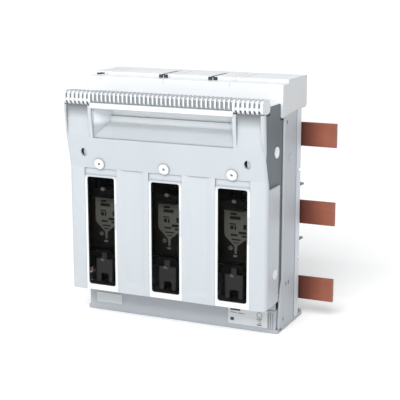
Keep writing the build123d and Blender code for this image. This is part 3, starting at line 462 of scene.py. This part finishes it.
def grip(material, cell_shade_material):
    """Ribbed grip: rounded ribs on a rear spine, a band at both ends, and cells between ribs in
    dark grey, as painted shade in the gaps.

    The outlines across the grip are in millimetres from the lower front edge of its box.
    """
    low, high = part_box("grip_bar")
    corner = (low[1], low[2])
    pitch = 5.8 * MM
    count = 46
    rib_half = 1.1 * MM
    rib_corner = 3.9 * MM
    end_rib_half = 1.6 * MM
    end_rib_corner = 6.0 * MM
    lip_half = 95.2 * MM
    band_start = lip_half + 0.4 * MM
    end_inset = 1.2 * MM
    ends = (low[0] + end_inset, high[0] - end_inset)
    depth = (high[1] - low[1]) / MM
    height = (high[2] - low[2]) / MM

    end_rib = rounded(placed(rectangle((0, depth), (0, height)), corner), end_rib_corner)
    lip_step = [
        (8.1, 0.2), (depth, 0.2), (depth, height), (0, height), (0, 4.1), (8.1, 4.1),
    ]
    rib = rounded(placed(lip_step, corner), rib_corner)
    shape = bmesh.new()
    for index in range(count):
        x = (index - (count - 1) / 2) * pitch
        at_end = abs(x) > lip_half
        half = end_rib_half if at_end else rib_half
        prism(shape, end_rib if at_end else rib, "X", span(x, half))

    spine = [
        (depth - 2.0, 0.3), (depth - 2.0, height - 1.4), (depth - 4.5, height - 0.8),
        (6.0, height - 0.8), (3.4, height - 1.8), (1.9, height - 3.3), (5.6, height - 3.7),
        (5.6, 5.0), (10.1, 0.3),
    ]
    prism(shape, placed(spine, corner), "X", ends)
    band = rounded(placed(rectangle((0.6, 3.6), (4.5, 8.5)), corner), 1.2 * MM, steps=3)
    prism(shape, band, "X", (ends[0], -band_start))
    prism(shape, band, "X", (band_start, ends[1]))
    finish_piece(
        shape, "grip_ribs", material, "lid", bevel=0.45 * MM, replaced=("grip_bar",)
    )

    # Cell floors in dark grey: painted shade deep between the ribs
    shape = bmesh.new()
    cells = placed(rectangle((1.7, 6.5), (4.15, height - 3.5)), corner)
    prism(shape, rounded(cells, 0.5 * MM, steps=2), "X", ends)
    finish_piece(shape, "grip_cells", cell_shade_material, "lid", bevel=0.1 * MM)


def buttons(material):
    """Round buttons on the dark cheeks and slotted hinge caps on the lid's sides."""
    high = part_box("side_buttons")[1]
    button = (-50.0 * MM, 229.0 * MM)
    button_radius = 7.0 * MM
    button_rise = 1.2 * MM
    crown_radius = 4.6 * MM
    crown_rise = 1.5 * MM
    button_face = high[0] - 3.6 * MM
    cap = (-58.0 * MM, 80.5 * MM)
    cap_radius = 6.6 * MM
    cap_rise = 0.8 * MM
    cap_face = high[0] - cap_rise
    slot_half = 0.8 * MM
    arc = [math.radians(angle) for angle in range(-82, 83, 8)]
    shape = bmesh.new()
    for side in SIDES:
        face = side * button_face
        rim = face + side * button_rise
        prism(shape, circle(button, button_radius), "X", (face, rim))
        prism(shape, circle(button, crown_radius), "X", (rim, face + side * crown_rise))
        face = side * cap_face
        for part in SIDES:
            points = [
                (cap[0] + part * cap_radius * math.cos(a), cap[1] + cap_radius * math.sin(a))
                for a in arc
            ]
            edge = cap[0] + part * slot_half
            points += [(edge, points[-1][1]), (edge, points[0][1])]
            prism(shape, points, "X", (face, face + side * cap_rise))
    finish_piece(
        shape, "round_buttons", material, "lid", bevel=0.35 * MM, replaced=("side_buttons",)
    )


def fuse_link(number, materials):
    """Fuse body with rounded corners and its bare label, and the small parts around it.

    The outlines are in millimetres from the pole's middle in X and from the part's underside in Z.
    """
    low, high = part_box(f"fuse_body_{number}")
    x = (low[0] + high[0]) / 2
    middle = (x, 0.0)
    face = low[1]
    label_y = (face - 0.25 * MM, face + 0.3 * MM)
    print_y = (face - 0.4 * MM, face - 0.1 * MM)
    ring_y = (face - 1.2 * MM, face + 0.5 * MM)
    pointer_y = (face - 1.4 * MM, face + 0.5 * MM)
    pad_y = (-79.1 * MM, -78.0 * MM)
    stem_y = (-78.9 * MM, -75.0 * MM)
    clip_front = -80.4 * MM
    clip_y = (clip_front, clip_front + 4.8 * MM)
    body_corner = 13 * MM
    shape = bmesh.new()
    body = rounded(rectangle((low[0], high[0]), (low[1], high[1])), body_corner, steps=8)
    prism(shape, body, "Z", (low[2], high[2]))
    finish_piece(
        shape, f"fuse_ceramic_{number}", materials["ceramic"], "lid",
        bevel=1.2 * MM, replaced=(f"fuse_body_{number}",),
    )

    label = [
        (-17.0, 158.5), (-17.0, 127.0), (-14.5, 124.0), (-3.9, 114.0), (-3.2, 104.6),
        (-0.6, 103.8), (0.2, 114.0), (9.5, 121.5), (17.0, 126.0), (17.0, 158.5),
    ]
    shape = bmesh.new()
    prism(shape, placed(label, middle), "Y", label_y)
    finish_piece(shape, f"fuse_label_{number}", materials["label"], "lid")

    # Plain bars on the label: left, right, bottom and top
    bars = [
        (-9.0, -1.0, 152.5, 155.0), (-9.5, 4.0, 147.0, 151.0), (-10.0, -2.0, 140.5, 142.0),
        (-9.0, -5.0, 134.5, 139.0), (-3.5, -1.5, 134.0, 139.5), (8.0, 13.5, 135.5, 141.5),
        (2.0, 17.0, 129.5, 132.5), (-8.5, 0.5, 126.5, 128.7), (6.0, 15.0, 125.8, 128.0),
        (-7.0, 4.5, 121.2, 122.8), (-4.5, 2.0, 117.4, 118.6),
    ]
    shape = bmesh.new()
    for left, right, bottom, top in bars:
        bar = rectangle((left, right), (bottom, top))
        prism(shape, placed(bar, middle), "Y", print_y)
    finish_piece(shape, f"fuse_print_{number}", materials["print"], "lid")

    ring_middle = (x - 8.4 * MM, 111.0 * MM)
    ring_radii = (1.0 * MM, 2.7 * MM)
    pointer = placed(rectangle((-4.8, 0.8), (100.2, 102.8)), middle)
    shape = bmesh.new()
    flat_ring(shape, ring_middle, ring_radii, ring_y)
    prism(shape, rounded(pointer, 0.9 * MM, steps=3), "Y", pointer_y)
    finish_piece(
        shape, f"fuse_indicator_{number}", materials["steel"], "lid", bevel=0.2 * MM
    )

    pad = [
        (-11.5, 80.0), (-11.5, 50.0), (-5.8, 50.0), (-5.8, 59.5), (-3.5, 61.5), (3.0, 61.5),
        (5.6, 59.5), (5.6, 50.0), (11.0, 50.0), (11.5, 80.0),
    ]
    stem = rectangle((-4.0, 3.0), (79.5, 91.0))
    shape = bmesh.new()
    prism(shape, placed(pad, middle), "Y", pad_y)
    prism(shape, placed(stem, middle), "Y", stem_y)
    finish_piece(shape, f"carrier_pad_{number}", materials["pad"], "lid", bevel=0.4 * MM)

    # Clips in a light colour: painted glints on the carrier
    shape = bmesh.new()
    for left, bottom in ((-5.5, 78.4), (-3.5, 170.5)):
        clip = [
            (left, bottom), (left + 4.6, bottom - 1.6),
            (left + 5.4, bottom + 0.8), (left + 1.2, bottom + 2.8),
        ]
        prism(shape, placed(clip, middle), "Y", clip_y)
    finish_piece(
        shape, f"carrier_clips_{number}", materials["clip"], "lid", bevel=0.3 * MM
    )


def plates(card, dark_print, grey_print):
    """Plain card on the label holder, and plain bars, rows and a ring on the rating plate."""
    low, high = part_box("label_holder")
    rim = 2 * MM
    card_y = (low[1] - 0.15 * MM, low[1] + 0.2 * MM)
    inner = rectangle((low[0] + rim, high[0] - rim), (low[2] + rim, high[2] - rim))
    shape = bmesh.new()
    prism(shape, rounded(inner, 0.8 * MM, steps=3), "Y", card_y)
    finish_piece(shape, "holder_card", card, "root")

    # Fields as shares of the plate's width and height: left, right, bottom and top
    low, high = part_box("rating_plate")
    width = high[0] - low[0]
    height = high[2] - low[2]
    front = (low[1] - 0.12 * MM, low[1] + 0.1 * MM)
    ring_middle = (low[0] + 0.80 * width, low[2] + 0.70 * height)
    ring_radii = (3.0 * MM, 3.8 * MM)
    dark_fields = [(0.06, 0.31, 0.80, 0.91), (0.06, 0.15, 0.20, 0.38), (0.74, 0.85, 0.09, 0.15)]
    grey_fields = [
        (0.06, 0.22, 0.66, 0.70), (0.25, 0.42, 0.64, 0.68), (0.72, 0.86, 0.44, 0.49),
        (0.76, 0.84, 0.34, 0.39), (0.78, 0.85, 0.22, 0.26),
    ]
    for name, fields, material in (
        ("plate_bars", dark_fields, dark_print), ("plate_rows", grey_fields, grey_print),
    ):
        shape = bmesh.new()
        for left, right, bottom, top in fields:
            field = rectangle(
                (low[0] + left * width, low[0] + right * width),
                (low[2] + bottom * height, low[2] + top * height),
            )
            prism(shape, field, "Y", front)
        if name == "plate_rows":
            flat_ring(shape, ring_middle, ring_radii, front)
        finish_piece(shape, name, material, "root")


def cover_slot_shadows(slot_shadow, seam):
    """Dark sheets in the top cover's long slots and notches, as painted shadow, and thin joints
    between its panels.
    """
    low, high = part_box("top_cover")
    ledge_rear = low[1] + 18.8 * MM
    ledge_z = high[2] - 4.7 * MM
    shadow_x = 34 * MM
    shadow_half = 1.9 * MM
    shadow_rear = high[1] - 24 * MM
    notch_shift = 3.4 * MM
    notch_half = 2.9 * MM
    notch_height = 4.2 * MM
    notch_rear = ledge_rear + 1 * MM
    shape = bmesh.new()
    for side in SIDES:
        x = side * shadow_x
        groove = rectangle(span(x, shadow_half), (ledge_rear - 0.1 * MM, shadow_rear))
        prism(shape, groove, "Z", (high[2] - 1.5 * MM, high[2]))
        for shift in (-notch_shift, notch_shift):
            notch = rectangle(span(x + shift, notch_half), (ledge_z, ledge_z + notch_height))
            notch = rounded(notch, 0.5 * MM, steps=2)
            prism(shape, notch, "Y", (ledge_rear - 0.15 * MM, notch_rear))
    end_slot = rectangle(
        (low[0] + 4 * MM, low[0] + 10.5 * MM), (ledge_z + 0.5 * MM, ledge_z + 2.7 * MM)
    )
    prism(shape, end_slot, "Y", (ledge_rear - 0.1 * MM, notch_rear))
    finish_piece(shape, "cover_slot_shadows", slot_shadow, "root")

    joint_half = 0.7 * MM
    joint_shifts = (-29.5 * MM, -17.0 * MM)
    joint_y = (ledge_rear + 0.4 * MM, high[1] - 14 * MM)
    joint_z = (high[2] - 0.6 * MM, high[2] - 0.02 * MM)
    shape = bmesh.new()
    for x in POLE_X:
        for shift in joint_shifts:
            prism(shape, rectangle(span(x + shift, joint_half), joint_y), "Z", joint_z)
    finish_piece(shape, "cover_joints", seam, "root")


def knob_rims(material):
    """Raised bright rims on the round bosses above the windows, square to the sloping face."""
    slope = math.atan2(9.0, 38.7)
    middle = Vector((0.0, -88.3 * MM, 204.8 * MM))
    radii = (1.9 * MM, 6.3 * MM)
    thickness = (-0.6 * MM, 0.3 * MM)
    shape = bmesh.new()
    for x in POLE_X:
        flat_ring(shape, (x, 0.0), radii, thickness, steps=40)
    bmesh.ops.rotate(shape, matrix=Matrix.Rotation(slope, 3, "X"), verts=shape.verts)
    bmesh.ops.translate(shape, vec=middle, verts=shape.verts)
    finish_piece(shape, "knob_rims", material, "lid", bevel=0.25 * MM)


def end_panel_shadows(material):
    """Thin sheets on the recessed panels under the ends of the ribbed grip, carrying the grip's
    painted shadow.
    """
    inner = 98.9 * MM
    outer = 129.1 * MM
    panel_z = (239.5 * MM, 281.5 * MM)
    panel_y = (-94.75 * MM, -94.3 * MM)
    shape = bmesh.new()
    for side in SIDES:
        panel_x = sorted((side * inner, side * outer))
        prism(shape, rectangle(panel_x, panel_z), "Y", panel_y)
    finish_piece(shape, "end_panel_shadows", material, "lid", bevel=0.15 * MM)


def wall_slots(material):
    """Dark sheets on the floors of the small slots in the side walls, as painted shade in the
    slots.
    """
    slots = [(-25.5, 14.6), (-21.7, 262.1), (-17.2, 58.0), (-8.0, 58.0)]
    slot_half_width = 1.45 * MM
    slot_half_height = 2.45 * MM
    floor_x = (132.9 * MM, 133.6 * MM)
    shape = bmesh.new()
    for side in SIDES:
        for y, z in placed(slots, (0.0, 0.0)):
            outline = rectangle(span(y, slot_half_width), span(z, slot_half_height))
            prism(shape, outline, "X", [side * x for x in floor_x])
    finish_piece(shape, "wall_slots", material, "root")


def lower_lip(material):
    """Upright lip on the lower cover's shelf, just under the closed lid."""
    low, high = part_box("lower_cover")
    end_inset = 1 * MM
    lip_y = (low[1] + 1.4 * MM, low[1] + 3.0 * MM)
    lip_z = (high[2] - 0.5 * MM, high[2] + 8.2 * MM)
    shape = bmesh.new()
    prism(shape, rectangle((low[0] + end_inset, high[0] - end_inset), lip_y), "Z", lip_z)
    finish_piece(shape, "cover_lip", material, "root", bevel=0.4 * MM)


def camera():
    """Camera at the photograph's viewing angle."""
    data = bpy.data.cameras.new("camera")
    data.sensor_width = SENSOR
    data.lens = FOCAL_PIXELS / IMAGE_SIZE * SENSOR
    data.clip_end = CLIP_END
    eye = bpy.data.objects.new("camera", data)
    bpy.context.scene.collection.objects.link(eye)
    level = math.cos(CAMERA_ELEVATION)
    forward = Vector(
        (
            -math.sin(CAMERA_AZIMUTH) * level,
            math.cos(CAMERA_AZIMUTH) * level,
            -math.sin(CAMERA_ELEVATION),
        )
    )
    eye.location = CAMERA_PLACE
    eye.rotation_euler = forward.to_track_quat("-Z", "Y").to_euler()
    bpy.context.scene.camera = eye


def key_light():
    """One large soft light, above and in front."""
    data = bpy.data.lights.new("key", "AREA")
    data.shape = "RECTANGLE"
    data.size, data.size_y = KEY_SIZE
    data.energy = KEY_POWER
    light = bpy.data.objects.new("key", data)
    bpy.context.scene.collection.objects.link(light)
    light.location = KEY_PLACE
    aim = Vector(KEY_TARGET) - Vector(KEY_PLACE)
    light.rotation_euler = aim.to_track_quat("-Z", "Y").to_euler()


def studio():
    """Plain pale floor that rises far away, and white surroundings."""
    scene = bpy.context.scene
    scene.view_settings.view_transform = "Standard"
    world = bpy.data.worlds.new("studio")
    scene.world = world
    world.use_nodes = True
    background = world.node_tree.nodes["Background"]
    background.inputs["Color"].default_value = WORLD_COLOUR
    background.inputs["Strength"].default_value = WORLD_STRENGTH
    corners = []
    for radius, height in FLOOR_PROFILE:
        corners += [(x, y, height) for x, y in circle((0.0, 0.0), radius, FLOOR_STEPS)]
    faces = [tuple(range(FLOOR_STEPS))]
    for level in range(len(FLOOR_PROFILE) - 1):
        for index in range(FLOOR_STEPS):
            here = level * FLOOR_STEPS + index
            ahead = level * FLOOR_STEPS + (index + 1) % FLOOR_STEPS
            faces.append((here, ahead, ahead + FLOOR_STEPS, here + FLOOR_STEPS))
    mesh = bpy.data.meshes.new("floor")
    mesh.from_pydata(corners, [], faces)
    floor = bpy.data.objects.new("floor", mesh)
    scene.collection.objects.link(floor)
    mesh.materials.append(floor_material())


def dress_frame():
    """Gives every CAD node its material; returns the three that added pieces share."""
    # Painted light: the lid is lighter on its front lip, and its pocket is lighter towards the top
    lip_light_fade = ("Y", 98.8 * MM, 99.3 * MM, LIP_PAINTED_LIGHT)
    lid_white = plastic("lid_white", LID_WHITE, 0.34, fade=lip_light_fade)
    dress(("lid_shell", "grip_bar", "side_buttons"), lid_white)
    pocket_light_fade = ("Z", 253 * MM, 259 * MM, POCKET_PAINTED_LIGHT)
    pocket_painted_light = plastic("pocket_painted_light", LID_WHITE, 0.34, crevice_shade_and_dust=0.85, fade=pocket_light_fade)
    dress(("grip_pocket",), pocket_painted_light)

    # Painted shade: the window frames are darker above, and the cover at its ends
    frame_painted_shade = ("Z", 183 * MM, 188 * MM, shade(LID_WHITE, 1.02))
    frame_white = plastic("frame_white", FRAME_WHITE, 0.3, fade=frame_painted_shade)
    dress(("window_frame",), frame_white)
    cover_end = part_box("top_cover")[1].x
    cover_end_painted_shade = ("X", cover_end - 1.5 * MM, cover_end - 0.3 * MM, shade(COVER_WHITE, 0.73))
    cover_white = plastic("cover_white", COVER_WHITE, 0.4, fade=cover_end_painted_shade)
    dress(("top_cover", "cover_clips"), cover_white)

    # Painted shadow of the lid: the lower cover darkens upwards
    housing = plastic("housing_grey", HOUSING_GREY, 0.5, crevice_shade_and_dust=0.7)
    dress(("side_wall", "bottom_plate"), housing)
    shelf_lid_shadow = ("Z", 10 * MM, 30 * MM, shade(HOUSING_GREY, 0.80))
    shelf_shadowed_grey = plastic("shelf_shadowed_grey", HOUSING_GREY, 0.5, crevice_shade_and_dust=0.7, fade=shelf_lid_shadow)
    dress(("lower_cover",), shelf_shadowed_grey)

    dress(("base_moulding", "adapter"), plastic("adapter_grey", ADAPTER_GREY, 0.5))
    dress(("side_panel",), plastic("side_dark", CHEEK_GREY, 0.5))
    dress(("phase_shelves",), plastic("shelf_dark", SHELF_GREY, 0.5))
    dress(("fuse_carrier",), plastic("carrier_dark", RAIL_BLACK, 0.5))
    dress(("arc_chamber",), plastic("chamber_dark", CHAMBER_GREY, 0.5))
    dress(("rating_plate", "label_holder"), plastic("label_grey", PLATE_GREY, 0.35))
    dress(("busbar",), copper())
    dress(("feed_strap",), metal("dull_copper", DULL_COPPER, 0.45, (1.0, 1.0, 0.08)))
    steel = metal("zinc_steel", ZINC, 0.38, (1.0, 0.2, 1.0))
    dress(("bar_clamp", "contact_springs", "arc_plates"), steel)
    dress(("feed_bolts", "terminal_bolts", "hinge_pins"), steel)
    upright_streaks = (1.0, 1.0, 0.1)
    silvered = metal("silvered", SILVER, 0.3, upright_streaks)
    dress(("fuse_blades", "upper_contact", "lower_contact"), silvered)
    dress(("fuse_end_plates",), metal("dull_tin", DULL_TIN, 0.5, upright_streaks))
    fuse_ceramic = ceramic()
    dress(("fuse_body",), fuse_ceramic)
    dress(("window_pane",), clear_pane())
    return housing, steel, fuse_ceramic


def main():
    housing, steel, fuse_ceramic = dress_frame()
    grip_white = plastic("grip_white", GRIP_WHITE, 0.34)
    cell_shade_grey = plastic("cell_shade_grey", CELL_SHADE_GREY, 0.5, edge=0.0, crevice_shade_and_dust=0.8)
    grip(grip_white, cell_shade_grey)
    button_white = plastic("button_white", BUTTON_WHITE, 0.35)
    buttons(button_white)
    knob_rims(button_white)
    # Painted shadow of the grip: the end panels darken upwards, below it
    grip_shadow_fade = ("Z", 262 * MM, 278 * MM, shade(LID_WHITE, 0.27))
    panel_white = shade(LID_WHITE, 0.97)
    end_panel_shadows(plastic("panel_shade", panel_white, 0.4, edge=0.0, fade=grip_shadow_fade))
    fuse_label = plastic("fuse_label", FUSE_LABEL, 0.4, edge=0.0)
    dark_print = plastic("dark_print", PRINT_DARK, 0.5, edge=0.0)
    grey_print = plastic("grey_print", PRINT_GREY, 0.5, edge=0.0)
    link_materials = {
        "ceramic": fuse_ceramic,
        "label": fuse_label,
        "print": dark_print,
        "steel": steel,
        "pad": plastic("pad_grey", PAD_GREY, 0.45),
        "clip": plastic("clip_glint_white", CLIP_GLINT_WHITE, 0.2),
    }
    for number in POLES:
        fuse_link(number, link_materials)
    plates(plastic("card", CARD_GREY, 0.4, edge=0.0), dark_print, grey_print)
    slot_shadow_dark = plastic("slot_shadow_dark", SLOT_SHADOW_DARK, 0.6, edge=0.0)
    wall_slots(slot_shadow_dark)
    cover_slot_shadows(slot_shadow_dark, plastic("seam_grey", SEAM_GREY, 0.6, edge=0.0))
    lower_lip(housing)
    camera()
    studio()
    key_light()


main()
